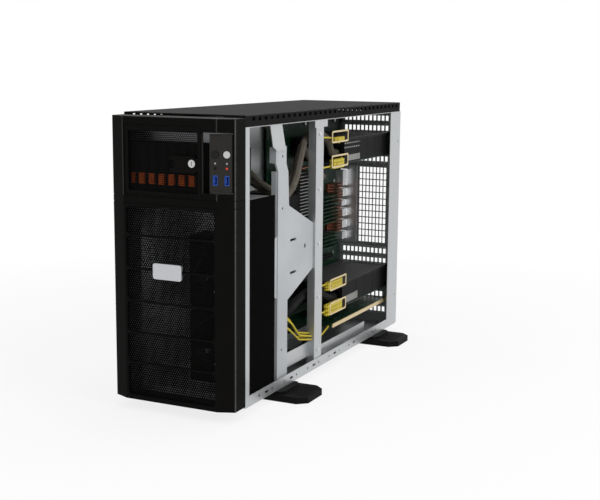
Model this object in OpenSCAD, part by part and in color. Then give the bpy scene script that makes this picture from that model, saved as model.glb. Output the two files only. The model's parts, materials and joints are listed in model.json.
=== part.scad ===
// Tower GPU server with its side cover off, built from separate named pieces.
// X runs towards the open side, Y from the bezel to the rear, Z up. Millimetres.

/* [Body] */
// Width of the chassis across its side faces
width = 220; // [214:1:226]
// Depth from the bezel face to the rear edge
depth = 712; // [704:1:724]
// Height from the bezel's bottom to the top of the cover
body_height = 458; // [454:1:466]
// Thickness of the chassis sheet
sheet = 1.2; // [1:0.1:1.4]
// How far the chassis floor lies below the bezel's bottom
pan_drop = 3; // [2.6:0.2:4]
// How far the rear panel is set in from the rear edge
rear_inset = 19; // [18:0.5:20]
// Height of the flange along the bottom of the open side
side_flange = 18; // [14:1:19]

/* [Bezel] */
// Depth of the moulded bezel
bezel_depth = 45; // [43:1:47]
// Width of each slanted front corner
corner_across = 26; // [24:1:26]
// Depth of each slanted front corner
corner_back = 12; // [11:0.5:13]
// Wall thickness of the mouldings
moulding = 3; // [2.6:0.2:3.2]
// Step from the top of the cover down to the top of the bezel
bezel_step = 4; // [3:0.5:5]

/* [Bezel door] */
// Height of the drive door
door_height = 108; // [104:1:108]
// Distance from the door's upper edge to the top of the bezel
door_top_gap = 13; // [12:0.5:14]
// Width of the drive door
door_width = 137; // [136:1:138]
// Thickness of the door frame
door_thick = 8; // [7:0.5:8.5]
// Gap round the door
door_gap = 1.2; // [1.2:0.1:1.4]

/* [Feet] */
// Height of the outrigger feet
foot_height = 15; // [13:1:18]
// How far each foot reaches past the side of the chassis
foot_reach = 56; // [50:1:60]
// Width of each foot along the depth
foot_span = 82; // [76:1:86]

/* [Fans] */
// Frame size of the front fans
fan_size = 120; // [118:1:120]
// Thickness of the front fans
fan_thick = 38; // [36:1:40]
// Frame size of the middle fan
mid_fan_size = 92; // [88:1:92]

/* [Cards] */
// Length of the double-width cards
card_length = 244; // [236:1:248]
// Height of a card from the board towards the open side
card_reach = 100; // [97:1:101]
// Thickness of the double-width cards
card_thick = 46; // [44:0.5:46]
// Pitch of the expansion slots
slot_pitch = 20.32; // [20.3:0.02:20.34]

// Length of the motherboard
board_length = 330; // [326:1:331]

/* [Drives] */
// Pitch of the drive carriers
carrier_pitch = 18.1; // [17.8:0.1:18.2]
// Height of a drive carrier
carrier_height = 76; // [74:0.5:77]

/* [Power modules] */
// Width of a power module
psu_width = 76; // [74:0.5:76.5]
// Height of a power module
psu_height = 40; // [39:0.5:40.5]
// Length of a power module
psu_length = 320; // [310:1:325]

/* [Clearances] */
// Gap round a part that slides or turns
running = 0.5; // [0.4:0.1:0.7]
// Gap round a part that is clipped in place
seat = 0.3; // [0.2:0.1:0.4]

/* [Hidden] */
$fn = 40;
hx = width / 2;
lift = foot_height + pan_drop;
y_mid = depth / 2;
in_x = hx - sheet;
pan_top = sheet - pan_drop;
skirt_z = body_height - 18;
roof_z = skirt_z - sheet;
bezel_top = body_height - bezel_step;
wall_y = bezel_depth;
in_y = wall_y + sheet;
rear_y = depth - rear_inset;
pan_end = depth - 6;
flat_x = hx - corner_across;
face_y = 1.2;
door_left = -80;
door_right = door_left + door_width;
door_top = bezel_top - door_top_gap;
door_bottom = door_top - door_height;
hinge_x = door_left + 3;
hinge_y = face_y + 2.2;
rib_share = [0, 178, 340, 508, 676, 848, 1000];
rib_z = [for (s = rib_share) 6 + s * (door_bottom - 24) / 1000];
win_x = flat_x - 4;
grille_y = face_y + moulding;
grille_t = 1.6;
panel_z1 = bezel_top - 23;
panel_z0 = panel_z1 - 88;
button_z = panel_z1 - 30.5;
lamp_z = [panel_z1 - 44, panel_z1 - 51.5];
port_z = panel_z0 + 10.4;
port_h = 15.6;
panel_x = 71;
panel_turn = 13.2;
panel_y = 3.4;
tray_x = -24.2;
tray_y0 = 166;
board_x = tray_x + sheet + 6;
board_t = 1.6;
board_face = board_x + board_t;
board_y1 = rear_y - 5;
board_y0 = board_y1 - board_length;
board_z0 = 14;
board_z1 = roof_z - 8.8;
card_y1 = rear_y - 1.4;
card_y0 = card_y1 - card_length;
slot_face = board_face + 11;
gpu1_z = roof_z - 85.8;
gpu2_z = 81;
card3_z = 52;
card3_y0 = card_y1 - 288;
fan_y = 98;
fan_x = 38;
fan_z = [74, 74 + fan_size + 6];
fan_wall_y = fan_y + fan_thick;
mid_y = 248;
mid_thick = 38;
mid_x = 40;
mid_z = 268;
cage_x0 = -104;
cage_x1 = 46;
cage_z0 = door_bottom + 1;
cage_z1 = cage_z0 + carrier_height + 4;
cage_y0 = 22;
cage_y1 = 150;
first_carrier = cage_x0 + 2.6;
k_top = roof_z - 36.8;
k_x0 = hx - 9;
k_t = 3;
post_y0 = 305;
post_y1 = 336;
post_screw_z = [for (i = [0:4]) 30 + i * (roof_z - 53.8) / 4];
psu_x0 = -in_x + 0.6;
psu_x1 = psu_x0 + psu_width;
shelf_z = pan_top + 0.4 + psu_height + 0.6;
psu_z = [pan_top + 0.4, shelf_z + sheet + 0.4];
psu_y0 = rear_y - psu_length;
stud_y = [board_y0 + 12, board_y0 + 162, board_y0 + 302];
stud_z = [board_z0 + 12, 146, 296, board_z1 - 10];
cooler_y = [board_y0 + 16, board_y0 + 16];
cooler_z = [258, 167];
cooler_w = 80;
vrm_y = board_y0 + 264;
dimm_y0 = board_y0 + 120;
dimm_z = [222, 229.5, 237, 244.5, 252, 259.5, 267, 274.5, 172, 179.5, 187, 194.5];
notch_pitch = 20.5;
notch_n = 31;
blank_z = [gpu1_z - 10.4, gpu1_z + 52.5, gpu1_z + 72.8, gpu2_z + 70, gpu2_z + 49.6, card3_z - 24];
card_mid = [gpu1_z + 8.2, gpu1_z + 8.2 + slot_pitch, gpu2_z + 8.2, gpu2_z + 8.2 + slot_pitch, card3_z + 8.2];
slot_mid = concat(blank_z, card_mid);
screw_spots = [[depth - 12, 60], [depth - 12, 380]];
foot_y = [146, depth - 146];

// Routes of the leads, from socket to socket.
// The rear ends hang on the cards and the board, the front ends on the tray, the backplane and the fan wall.
plug_y = card_y0 + 11.9;
route_a = [[-5.4, board_y0 + 107, 308], [14, board_y0 + 107, 308], [34, board_y0 + 106, 316],
           [52, board_y0 + 102, 326], [62, board_y0 + 62, 336], [68, board_y0 + 2, gpu1_z + 19],
           [72, 320, k_top - 10], [78, 280, k_top - 52], [72, 240, 322], [44, 212, 338],
           [10, 198, cage_z0 + 44],
           [-12, 184, cage_z0 + 56], [-12, 174, cage_z0 + 56], [-12, cage_y1 + 12.2, cage_z0 + 56]];
route_b = [[-22, 250, 345], [20, 236, 334], [62, 228, 316], [86, 238, 316], [90, 266, 346],
           [84, 306, gpu1_z + 47], [84, card_y0 - 98, gpu1_z + 63], [82, card_y0 - 38, gpu1_z + 47],
           [82, card_y0 - 18, gpu1_z + 20.6], [82, card_y0 - 4, gpu1_z + 20], [82, plug_y, gpu1_z + 20]];
route_c = [[-22, 268, 66], [20, 262, 72], [62, 268, 96], [82, 300, gpu2_z + 45],
           [82, card_y0 - 88, gpu2_z + 49], [82, card_y0 - 42, gpu2_z + 27],
           [82, card_y0 - 18, gpu2_z + 19.6], [82, card_y0 - 4, gpu2_z + 19], [82, plug_y, gpu2_z + 19]];
route_d = [[-22, 240, 48], [16, 226, 56], [52, 228, 100], [70, 252, 142], [64, 300, 160],
           [40, board_y0 - 13, 152], [22, board_y0 + 24, 142], [10, board_y0 + 33, 140],
           [-3.1, board_y0 + 33, 140]];
route_e = [[-22, 262, 38], [30, 258, 34], [78, 286, 30], [82, 340, card3_z - 8], [74, 376, card3_z],
           [72, 390, card3_z + 0.8], [72, card3_y0 - 0.4, card3_z + 0.8]];
post_front = post_y0 - 1.2;
post_back = post_y1 + 0.4;
route_y = [[[60, fan_wall_y + 2.2, 128], [78, 168, 126], [86, 212, 120], [91, 240, 98], [92, 268, 70],
            [98, post_front, 62]],
           [[68, fan_wall_y + 2.2, 116], [84, 168, 114], [92, 214, 110], [96, 240, 92], [97, 268, 66],
            [103, post_front, 57]],
           [[60, fan_wall_y + 2.2, 104], [78, 168, 104], [84, 216, 98], [90, 240, 82], [91, 268, 62],
            [98, post_front, 56]],
           [[68, fan_wall_y + 2.2, 92], [84, 168, 92], [91, 218, 92], [95, 240, 78], [96, 268, 58],
            [103, post_front, 51]],
           [[95.6, post_back, gpu1_z + 55], [96, card_y0 - 58, gpu1_z + 51], [94, card_y0 - 18, gpu1_z + 45],
            [90, card_y0 - 1.4, gpu1_z + 38]],
           [[95.6, post_back, gpu1_z - 1], [96, card_y0 - 58, gpu1_z - 1], [96, card_y0 - 18, gpu1_z + 7],
            [96, card_y0 - 1.4, gpu1_z + 11]],
           [[95.6, post_back, gpu2_z + 57], [96, card_y0 - 58, gpu2_z + 55], [94, card_y0 - 18, gpu2_z + 47],
            [90, card_y0 - 1.4, gpu2_z + 38]],
           [[95.6, post_back, gpu2_z + 5], [96, card_y0 - 58, gpu2_z + 5], [96, card_y0 - 18, gpu2_z + 9],
            [96, card_y0 - 1.4, gpu2_z + 12]],
           [[95.6, post_back, card3_z - 14], [95, 370, card3_z - 6], [92, card3_y0 - 0.4, card3_z + 0.8]]];

// ---- helpers ----

module place() { translate([0, -y_mid, lift]) children(); }

module box(x0, x1, y0, y1, z0, z1) { translate([x0, y0, z0]) cube([x1 - x0, y1 - y0, z1 - z0]); }

module rrect(w, h, r) {
    translate([r, 0]) square([w - 2 * r, h]);
    translate([0, r]) square([w, h - 2 * r]);
    for (x = [r, w - r]) {
        for (y = [r, h - r]) { translate([x, y]) circle(r); }
    }
}

// A plate in the XZ plane: its outline is drawn in (x, z), its thickness runs from y0 to y1.
module upright(y0, y1) { translate([0, y1, 0]) rotate([90, 0, 0]) linear_extrude(y1 - y0) children(); }

// A plate in the YZ plane: its outline is drawn in (y, z), its thickness runs from x0 to x1.
module side_plate(x0, x1) {
    translate([x0, 0, 0]) rotate([90, 0, 90]) linear_extrude(x1 - x0) children();
}

module bore_y(x, z, r, y0, y1) { translate([x, y0, z]) rotate([-90, 0, 0]) cylinder(r = r, h = y1 - y0); }
module bore_x(y, z, r, x0, x1) { translate([x0, y, z]) rotate([0, 90, 0]) cylinder(r = r, h = x1 - x0); }

// Smooth route through hand-set points.
function cr(a, b, c, d, t) = 0.5 * ((2 * b) + (c - a) * t + (2 * a - 5 * b + 4 * c - d) * t * t
    + (3 * b - a - 3 * c + d) * t * t * t);
function pick(p, i) = p[min(max(i, 0), len(p) - 1)];
function smooth(p, n) = concat([for (i = [0:len(p) - 2]) for (k = [0:n - 1])
    cr(pick(p, i - 1), p[i], p[i + 1], pick(p, i + 2), k / n)], [p[len(p) - 1]]);
function unit(v) = v / norm(v);
function ring(p, i, r, n, up) = let (t = unit(pick(p, i + 1) - pick(p, i - 1)), u = unit(cross(t, up)),
    v = cross(u, t))
    [for (k = [0:n - 1]) p[i] + r * (cos(360 * k / n) * u + sin(360 * k / n) * v)];

module tube(p, r, n, up = [0, -0.5, 0.86]) {
    m = len(p);
    pts = [for (i = [0:m - 1]) each ring(p, i, r, n, up)];
    lower = [for (i = [0:m - 2]) for (k = [0:n - 1]) [i * n + k, i * n + (k + 1) % n, (i + 1) * n + k]];
    upper = [for (i = [0:m - 2]) for (k = [0:n - 1])
        [i * n + (k + 1) % n, (i + 1) * n + (k + 1) % n, (i + 1) * n + k]];
    first = [for (k = [0:n - 1]) n - 1 - k];
    last = [for (k = [0:n - 1]) (m - 1) * n + k];
    polyhedron(points = pts, faces = concat([first], lower, upper, [last]));
}

// ---- bezel ----

module bezel_outline(inset) {
    back = bezel_depth + (inset > 0 ? 1 : 0);
    polygon([[-hx + inset, back], [-hx + inset, corner_back + inset * 0.7],
             [-flat_x + inset * 0.35, face_y + inset], [flat_x - inset * 0.35, face_y + inset],
             [hx - inset, corner_back + inset * 0.7], [hx - inset, back]]);
}

module badge_outline(gap) {
    translate([-30.4 - gap, 201.3 - gap]) rrect(52 + 2 * gap, 25 + 2 * gap, 4);
}

module bezel_frame() {
    color([0.06, 0.06, 0.065]) place() {
        bezel_shell();
        // hinge pin of the drive door
        translate([hinge_x, hinge_y, door_bottom - 3]) cylinder(r = 1, h = door_height + 6);
    }
}

module bezel_shell() {
    difference() {
        linear_extrude(bezel_top) bezel_outline(0);
        translate([0, 0, moulding]) linear_extrude(bezel_top - 2 * moulding) bezel_outline(moulding);
        // six rounded windows of the lower grille
        upright(face_y - 1, face_y + moulding + 0.1) {
            for (i = [0:5]) {
                translate([-win_x, rib_z[i] + 1.5]) rrect(2 * win_x, rib_z[i + 1] - rib_z[i] - 3, 7);
            }
        }
        upright(face_y - 1, face_y + moulding + 0.1) badge_outline(seat);
        // opening of the drive door
        upright(face_y - 1, face_y + moulding + 0.1)
            translate([door_left - door_gap, door_bottom - 0.6])
                square([door_width + 1.8, door_height + 1.2]);
        // opening of the control panel, with the slanted corner
        translate([0, 0, panel_z0 - 2]) linear_extrude(panel_z1 - panel_z0 + 4)
            polygon([[door_right + 2.6, -1], [flat_x, -1], [hx - 1.8, corner_back - 3],
                     [hx - 1.8, corner_back + 12], [door_right + 2.6, corner_back + 12]]);
        // parting lines
        for (z = [door_bottom - 3.4, door_bottom - 15]) {
            box(-hx - 1, hx + 1, -1, face_y + 0.8, z, z + 1.4);
            box(hx - 0.8, hx + 1, -1, bezel_depth + 1, z, z + 1.4);
            box(-hx - 1, -hx + 0.8, -1, bezel_depth + 1, z, z + 1.4);
        }
    }
}

module lower_grille() {
    color([0.1, 0.1, 0.105]) place() upright(grille_y, grille_y + grille_t) difference() {
        translate([-win_x - 2.5, 3.4]) square([2 * win_x + 5, door_bottom - 20]);
        for (i = [0:5]) {
            h = (rib_z[i + 1] - rib_z[i] - 12) / 3;
            for (j = [0:2]) {
                for (k = [0:15]) {
                    translate([-win_x + 4 + k * (2 * win_x - 8 - 5.6) / 15, rib_z[i] + 5 + j * (h + 1.5)])
                        square([5.6, h - 1.5]);
                }
            }
        }
    }
}

module bezel_door() {
    z0 = door_bottom;
    color([0.07, 0.07, 0.075]) place() difference() {
        union() {
            difference() {
                box(door_left, door_right, face_y, face_y + door_thick, z0, door_top);
                box(door_left + 6, door_right - 6, face_y - 1, face_y + door_thick + 1, z0 + 6, door_top - 9);
            }
            // smooth latch plate with its round lock boss
            upright(face_y + 0.4, face_y + door_thick) difference() {
                union() {
                    translate([1, z0 + 37]) rrect(47, 26, 5);
                    translate([40, z0 + 40]) square([12, 20]);
                }
                translate([5, z0 + 50]) circle(6.2);
                translate([40.5, z0 + 52]) circle(6 + running);
            }
        }
        // hinge pin bore
        translate([hinge_x, hinge_y, z0 - 1]) cylinder(r = 1.3, h = door_height + 2);
    }
}

module door_mesh() {
    z0 = door_bottom;
    y0 = face_y + 3;
    color([0.13, 0.13, 0.135]) place() upright(y0, y0 + 1.4) difference() {
        translate([door_left + 6, z0 + 6]) square([door_width - 12, door_height - 15]);
        translate([1, z0 + 37]) rrect(47, 26, 5);
        translate([40, z0 + 40]) square([12, 20]);
        for (i = [0:11]) {
            for (j = [0:5]) {
                x = door_left + 10 + i * 10;
                z = z0 + 10 + j * 14.4;
                if (x + 6.6 < -1 || z + 11 < z0 + 35 || z > z0 + 65) {
                    translate([x, z]) square([6.6, 11]);
                }
            }
        }
    }
}

module door_lock() {
    color([0.35, 0.35, 0.36]) place() difference() {
        bore_y(40.5, door_bottom + 52, 6, face_y + 0.1, face_y + door_thick);
        box(39.7, 41.3, face_y - 0.5, face_y + 1.6, door_bottom + 48.6, door_bottom + 55.4);
    }
}

module badge_plate() {
    color([0.62, 0.63, 0.65]) place() upright(0, face_y + moulding) badge_outline(0);
}

module on_panel() { translate([panel_x, panel_y, 0]) rotate([0, 0, panel_turn]) children(); }

module control_panel() {
    len = (hx - 2.6 - panel_x) / cos(panel_turn);
    color([0.09, 0.09, 0.095]) place() difference() {
        union() {
            on_panel() box(0, len, 0, 3, panel_z0, panel_z1);
            // housing behind the face, reaching the front wall
            box(panel_x, hx - 18, panel_y + 6.1, wall_y, panel_z0 + 4, panel_z1 - 4);
        }
        on_panel() {
            for (s = [8.7, 27]) {
                translate([s, -1, button_z]) rotate([-90, 0, 0]) cylinder(r = 5.4 + running, h = 5);
                translate([s, -1, button_z]) rotate([-90, 0, 0]) cylinder(r = 3.4 + running, h = 11);
                translate([s, -1, lamp_z[0]]) rotate([-90, 0, 0]) cylinder(r = 1.5, h = 3);
                box(s - 3.8, s + 3.8, -1, 16, port_z, port_z + port_h);
            }
            translate([8.7, -1, lamp_z[1]]) rotate([-90, 0, 0]) cylinder(r = 2.4, h = 3);
            translate([27, -1, lamp_z[1]]) rotate([-90, 0, 0]) cylinder(r = 1.8, h = 3);
        }
    }
}

module button(s) {
    on_panel() translate([s, -0.9, button_z]) rotate([-90, 0, 0]) {
        cylinder(r = 5.4, h = 2.4);
        cylinder(r = 3.4, h = 6.4);
    }
}
module power_button() { color([0.6, 0.6, 0.62]) place() button(27); }
module reset_button() { color([0.14, 0.14, 0.15]) place() button(8.7); }

module usb_ports() {
    color([0.08, 0.2, 0.55]) place() on_panel() {
        for (s = [8.7, 27]) {
            difference() {
                box(s - 3.5, s + 3.5, 0.2, 15.6, port_z + seat, port_z + port_h - seat);
                box(s - 2.6, s + 2.6, -1, 11, port_z + 1.6, port_z + port_h - 1.6);
            }
            box(s - 2.3, s - 0.6, 2, 11.2, port_z + 3, port_z + port_h - 3);
        }
    }
}

module panel_lamps() {
    color([0.75, 0.12, 0.1]) place() on_panel() {
        translate([27, 0.2, lamp_z[1]]) rotate([-90, 0, 0]) cylinder(r = 1.8, h = 1.8);
        for (s = [8.7, 27]) {
            translate([s, 0.2, lamp_z[0]]) rotate([-90, 0, 0]) cylinder(r = 1.5, h = 1.8);
        }
    }
}

// ---- chassis ----

module top_cover() {
    w = 2.2;
    color([0.05, 0.05, 0.055]) place() difference() {
        union() {
            box(-hx, hx, wall_y, depth - 6, skirt_z, body_height);
            box(-hx + 5, hx - 5, wall_y, depth, skirt_z, body_height);
            for (s = [-1, 1]) {
                translate([s * (hx - 6), depth - 6, skirt_z]) cylinder(r = 6, h = body_height - skirt_z);
            }
        }
        box(-hx + w, hx - w, wall_y - 1, depth - w, skirt_z - 1, body_height - w);
        for (i = [0:notch_n - 1]) {
            y = wall_y + 22 + i * notch_pitch;
            box(hx - w - 1, hx + 1, y, y + 9, skirt_z + 9, body_height - 3.5);
            box(-hx - 1, -hx + w + 1, y, y + 9, skirt_z + 9, body_height - 3.5);
        }
    }
}

module roof_panel() {
    color([0.72, 0.74, 0.76]) place() box(-in_x, in_x, in_y, rear_y, roof_z, skirt_z);
}

module left_wall() { color([0.7, 0.72, 0.74]) place() box(-hx, -in_x, in_y, pan_end, -pan_drop, skirt_z); }

module floor_pan() {
    color([0.74, 0.76, 0.79]) place() difference() {
        union() {
            box(-in_x, hx, in_y, pan_end, -pan_drop, pan_top);
            box(in_x, hx, in_y + 12, rear_y - 36, -pan_drop, side_flange - pan_drop);
        }
        for (i = [0:11]) { bore_x(92 + i * 46, 6, 2.2, in_x - 1, hx + 1); }
        for (i = [0:5]) { box(in_x - 1, hx + 1, 112 + i * 92, 124 + i * 92, 4, 8); }
    }
}

module front_wall() {
    color([0.7, 0.72, 0.74]) place() {
        upright(wall_y, in_y) difference() {
            translate([-hx, -pan_drop]) square([width, skirt_z + pan_drop]);
            translate([-82, 14]) rrect(182, door_bottom - 41, 6);
            translate([cage_x0 - 0.4, cage_z0 - 0.4])
                square([cage_x1 - cage_x0 + 0.8, cage_z1 - cage_z0 + 0.8]);
            translate([74, panel_z0 + 7]) rrect(20, 70, 3);
        }
        box(in_x, hx, in_y, in_y + 11.8, pan_top, skirt_z);
    }
}

module rear_panel() {
    color([0.74, 0.76, 0.79]) place() {
        upright(rear_y, rear_y + sheet) difference() {
            translate([-in_x, pan_top]) square([2 * in_x, roof_z - pan_top]);
            // openings for the upper and lower cards, the ports and the power modules
            for (z = slot_mid) { translate([-9, z - 7.8]) square([104, 15.6]); }
            translate([-20, 167]) square([42, 158]);
            translate([psu_x0 - 0.8, psu_z[0] - 0.8])
                square([psu_width + 1.6, psu_z[1] - psu_z[0] + psu_height + 1.6]);
            // vent beside the ports
            for (i = [0:7]) {
                for (j = [0:11]) { translate([30 + i * 7.6, 168 + j * 13.2]) square([5.6, 11.2]); }
            }
            // vent of the rear chamber
            for (i = [0:5]) {
                for (j = [0:7]) { translate([-98 + i * 11, 130 + j * 22]) square([7, 16]); }
            }
        }
        difference() {
            union() {
                box(in_x, hx, rear_y - 35.8, depth, pan_top, skirt_z);
                box(hx - 11, in_x, depth - sheet, depth, pan_top, skirt_z);
            }
            for (s = screw_spots) { bore_x(s[0], s[1], 2, in_x - 1, hx + 1); }
        }
    }
}

module board_tray() {
    color([0.7, 0.72, 0.74]) place() side_plate(tray_x, tray_x + sheet) difference() {
        translate([tray_y0, pan_top]) square([rear_y - tray_y0, roof_z - pan_top]);
        translate([232, 24]) rrect(66, 76, 8);
        translate([232, 318]) rrect(66, 60, 8);
        translate([200, 130]) rrect(30, 130, 8);
    }
}

module fan_wall() {
    color([0.7, 0.72, 0.74]) place() {
        fan_plate();
        // roof of the fan bay
        box(-in_x, in_x - 5, in_y + 0.2, fan_wall_y, 324.8, 326);
    }
}

module fan_plate() {
    upright(fan_wall_y, fan_wall_y + sheet) difference() {
        translate([-in_x, pan_top]) square([2 * in_x - 5, 326 - pan_top]);
        for (z = fan_z) { translate([fan_x, z]) circle(fan_size * 0.47); }
        for (z = fan_z) {
            for (sx = [-1, 1]) {
                for (sz = [-1, 1]) {
                    translate([fan_x + sx * 0.4375 * fan_size, z + sz * 0.4375 * fan_size]) circle(2.2);
                }
            }
        }
        translate([-100, 20]) rrect(66, 280, 6);
    }
}

module side_baffle() {
    color([0.03, 0.03, 0.032]) place() {
        box(in_x - 4.4, in_x - 2, in_y + 0.2, fan_wall_y + sheet + 14, pan_top, 326);
        box(in_x - 2, in_x, in_y + 0.2, in_y + 10, 20, 320);
    }
}

module k_bracket() {
    color([0.6, 0.61, 0.63]) place() difference() {
        union() {
            side_plate(k_x0, k_x0 + k_t) polygon([[167, pan_top], [205, pan_top], [205, 142], [post_y0, 181],
                [post_y0, 261], [209, 302], [205, k_top - 42], [198, k_top - 29], [198, k_top], [160, k_top],
                [160, k_top - 26], [168, k_top - 40]]);
            // folded long edge
            box(k_x0 - 9, k_x0, 167, 169, pan_top, k_top - 40);
            box(k_x0 - 9, k_x0, 160, 162, k_top - 26, k_top);
            // long lug towards the fan bay
            side_plate(k_x0, k_x0 + 1.6)
                polygon([[150, 158], [168, 150], [168, 256], [150, 248]]);
        }
        side_plate(k_x0 - 1, k_x0 + k_t + 1) {
            translate([214, 240]) rrect(24, 4.4, 2);
            translate([214, 184]) rrect(24, 4.4, 2);
            translate([272, 225]) circle(4);
            translate([184, k_top - 16]) circle(2.4);
            translate([184, 60]) circle(2.4);
            translate([184, 300]) circle(2.4);
        }
    }
}

module upper_tab() {
    color([0.78, 0.79, 0.8]) place() {
        side_plate(k_x0 + k_t, k_x0 + k_t + 1.6)
            polygon([[136, roof_z], [178, roof_z], [190, k_top + 2], [190, k_top - 6], [160, k_top - 6],
                [146, k_top + 2]]);
        box(k_x0 - 14, k_x0 + k_t, 136, 178, roof_z - 1.6, roof_z);
    }
}

module post() {
    color([0.76, 0.77, 0.79]) place() difference() {
        union() {
            box(hx - 3.2, hx - 1.6, post_y0, post_y1, pan_top, roof_z);
            box(hx - 16, hx - 3.2, post_y0, post_y0 + 1.6, pan_top, roof_z);
            box(hx - 16, hx - 3.2, post_y1 - 1.6, post_y1, pan_top, roof_z);
            box(hx - 3.2, hx - 1.6, post_y0 - 5, post_y1 + 16, roof_z - 12, roof_z);
            for (i = [0:15]) {
                z = 20 + i * (roof_z - 63.8) / 15;
                box(hx - 12, hx - 6, post_y1, post_y1 + 9, z, z + 4);
            }
            // ledges at the foot of the post, in front of it and behind it
            box(hx - 14, hx - 12.4, 206, post_y0, 20, 46);
            box(hx - 14, hx - 12.4, post_y1, foot_y[1], 3, 29);
        }
        for (z = post_screw_z) { bore_x((post_y0 + post_y1) / 2, z, 2.2, hx - 4, hx); }
    }
}

// ---- feet ----

module foot(s, y0) {
    xe = hx + foot_reach;
    mirror([s < 0 ? 1 : 0, 0, 0]) difference() {
        union() {
            translate([0, 0, -lift]) linear_extrude(foot_height - 4)
                polygon([[hx - 40, y0], [xe - 16, y0], [xe, y0 + 14], [xe, y0 + foot_span - 14],
                         [xe - 16, y0 + foot_span], [hx - 40, y0 + foot_span]]);
            translate([0, 0, -lift]) linear_extrude(foot_height)
                polygon([[hx - 40, y0 + 6], [hx + 6, y0 + 6], [hx + 14, y0 + 16],
                         [hx + 14, y0 + foot_span - 16], [hx + 6, y0 + foot_span - 6],
                         [hx - 40, y0 + foot_span - 6]]);
        }
        for (i = [0:4]) {
            box(hx + 20 + i * 6, hx + 22.4 + i * 6, y0 + 12, y0 + foot_span - 12, -lift + foot_height - 5,
                -lift + foot_height);
        }
        for (y = [y0 + 20, y0 + foot_span - 20]) {
            translate([hx - 20, y, -lift - 1]) cylinder(r = 4.6, h = foot_height - 5);
        }
    }
}
module foot_front_right() { color([0.08, 0.08, 0.085]) place() foot(1, foot_y[0]); }
module foot_front_left() { color([0.08, 0.08, 0.085]) place() foot(-1, foot_y[0]); }
module foot_rear_right() { color([0.08, 0.08, 0.085]) place() foot(1, foot_y[1]); }
module foot_rear_left() { color([0.08, 0.08, 0.085]) place() foot(-1, foot_y[1]); }

module screws() {
    color([0.8, 0.81, 0.82]) place() {
        // feet
        for (s = [-1, 1]) {
            for (y0 = foot_y) {
                for (y = [y0 + 20, y0 + foot_span - 20]) {
                    translate([s * (hx - 20), y, -pan_drop - 6 - 2.4]) cylinder(r = 3.6, h = 2.4);
                }
            }
        }
        // motherboard
        for (y = stud_y) {
            for (z = stud_z) { bore_x(y, z, 3, board_face, board_face + 2); }
        }
        // middle post
        for (z = post_screw_z) { bore_x((post_y0 + post_y1) / 2, z, 3.4, hx - 1.6, hx); }
    }
}

// ---- fans ----

module fan_frame(size, t) {
    r = size * 0.465;
    hub = size * 0.2;
    translate([0, t, 0]) rotate([90, 0, 0]) {
        difference() {
            linear_extrude(t) translate([-size / 2, -size / 2]) rrect(size, size, 5);
            translate([0, 0, -1]) cylinder(r = r, h = t + 2, $fn = 64);
            for (x = [-1, 1]) {
                for (y = [-1, 1]) {
                    translate([x * 0.4375 * size, y * 0.4375 * size, -1]) cylinder(r = 2.2, h = t + 2);
                }
            }
        }
        cylinder(r = hub, h = 3);
        for (a = [45, 135, 225, 315]) {
            rotate([0, 0, a]) translate([hub - 1, -1.8, 0]) cube([r - hub + 2, 3.6, 3]);
        }
    }
}

module fan_rotor(size, t) {
    r = size * 0.445;
    hub = size * 0.2;
    translate([0, t, 0]) rotate([90, 0, 0]) {
        translate([0, 0, 3 + seat]) cylinder(r = hub, h = t - 5.5);
        for (a = [0:51.43:309]) {
            rotate([0, 0, a]) translate([0, 0, 5]) linear_extrude(t - 9, twist = -34, slices = 4)
                polygon([[hub - 1.5, -1.2], [r * 0.7, -2.4], [r, -1.4], [r, 0], [r * 0.7, -0.4],
                         [hub - 1.5, 0.9]]);
        }
    }
}
module at_fan(i) { place() translate([fan_x, fan_y, fan_z[i]]) children(); }
module fan_1_frame() { color([0.05, 0.05, 0.05]) at_fan(0) fan_frame(fan_size, fan_thick); }
module fan_1_rotor() { color([0.08, 0.08, 0.08]) at_fan(0) fan_rotor(fan_size, fan_thick); }
module fan_2_frame() { color([0.05, 0.05, 0.05]) at_fan(1) fan_frame(fan_size, fan_thick); }
module fan_2_rotor() { color([0.08, 0.08, 0.08]) at_fan(1) fan_rotor(fan_size, fan_thick); }

module mid_fan_frame() {
    color([0.06, 0.06, 0.06]) place() {
        translate([mid_x, mid_y, mid_z]) fan_frame(mid_fan_size, mid_thick);
        // mounting ears to the tray
        for (z = [mid_z - 30, mid_z + 30]) {
            box(tray_x + sheet, mid_x - mid_fan_size / 2, mid_y + 4, mid_y + 7, z - 6, z + 6);
        }
    }
}
module mid_fan_rotor() {
    color([0.09, 0.09, 0.09]) place() translate([mid_x, mid_y, mid_z]) fan_rotor(mid_fan_size, mid_thick);
}

// ---- drives ----

module drive_cage() {
    color([0.12, 0.12, 0.125]) place() difference() {
        box(cage_x0, cage_x1, cage_y0, cage_y1, cage_z0, cage_z1);
        box(cage_x0 + sheet, cage_x1 - sheet, cage_y0 - 1, cage_y1 + 1, cage_z0 + sheet, cage_z1 - sheet);
    }
}

module each_carrier() {
    for (i = [0:7]) { translate([first_carrier + i * carrier_pitch, 0, cage_z0 + 2]) children(); }
}

module drive_carriers() {
    w = carrier_pitch - 1.2;
    color([0.1, 0.1, 0.1]) place() each_carrier() difference() {
        box(0, w, cage_y0 - 8, cage_y1 - 4, 0, carrier_height);
        box(1.6, w - 1.6, cage_y0 - 9, cage_y0 - 5, 8, carrier_height - 24);
        box(2, w - 2, cage_y0 - 9, cage_y0 - 6, carrier_height - 20, carrier_height - 6);
        box(-1, 1, cage_y0 + 4, cage_y1 - 14, 6, carrier_height - 6);
    }
}

module carrier_latches() {
    w = carrier_pitch - 1.2;
    color([0.95, 0.35, 0.1]) place() each_carrier()
        box(3.4, w - 3.4, cage_y0 - 10, cage_y0 - 5, 13, 30);
}

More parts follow.
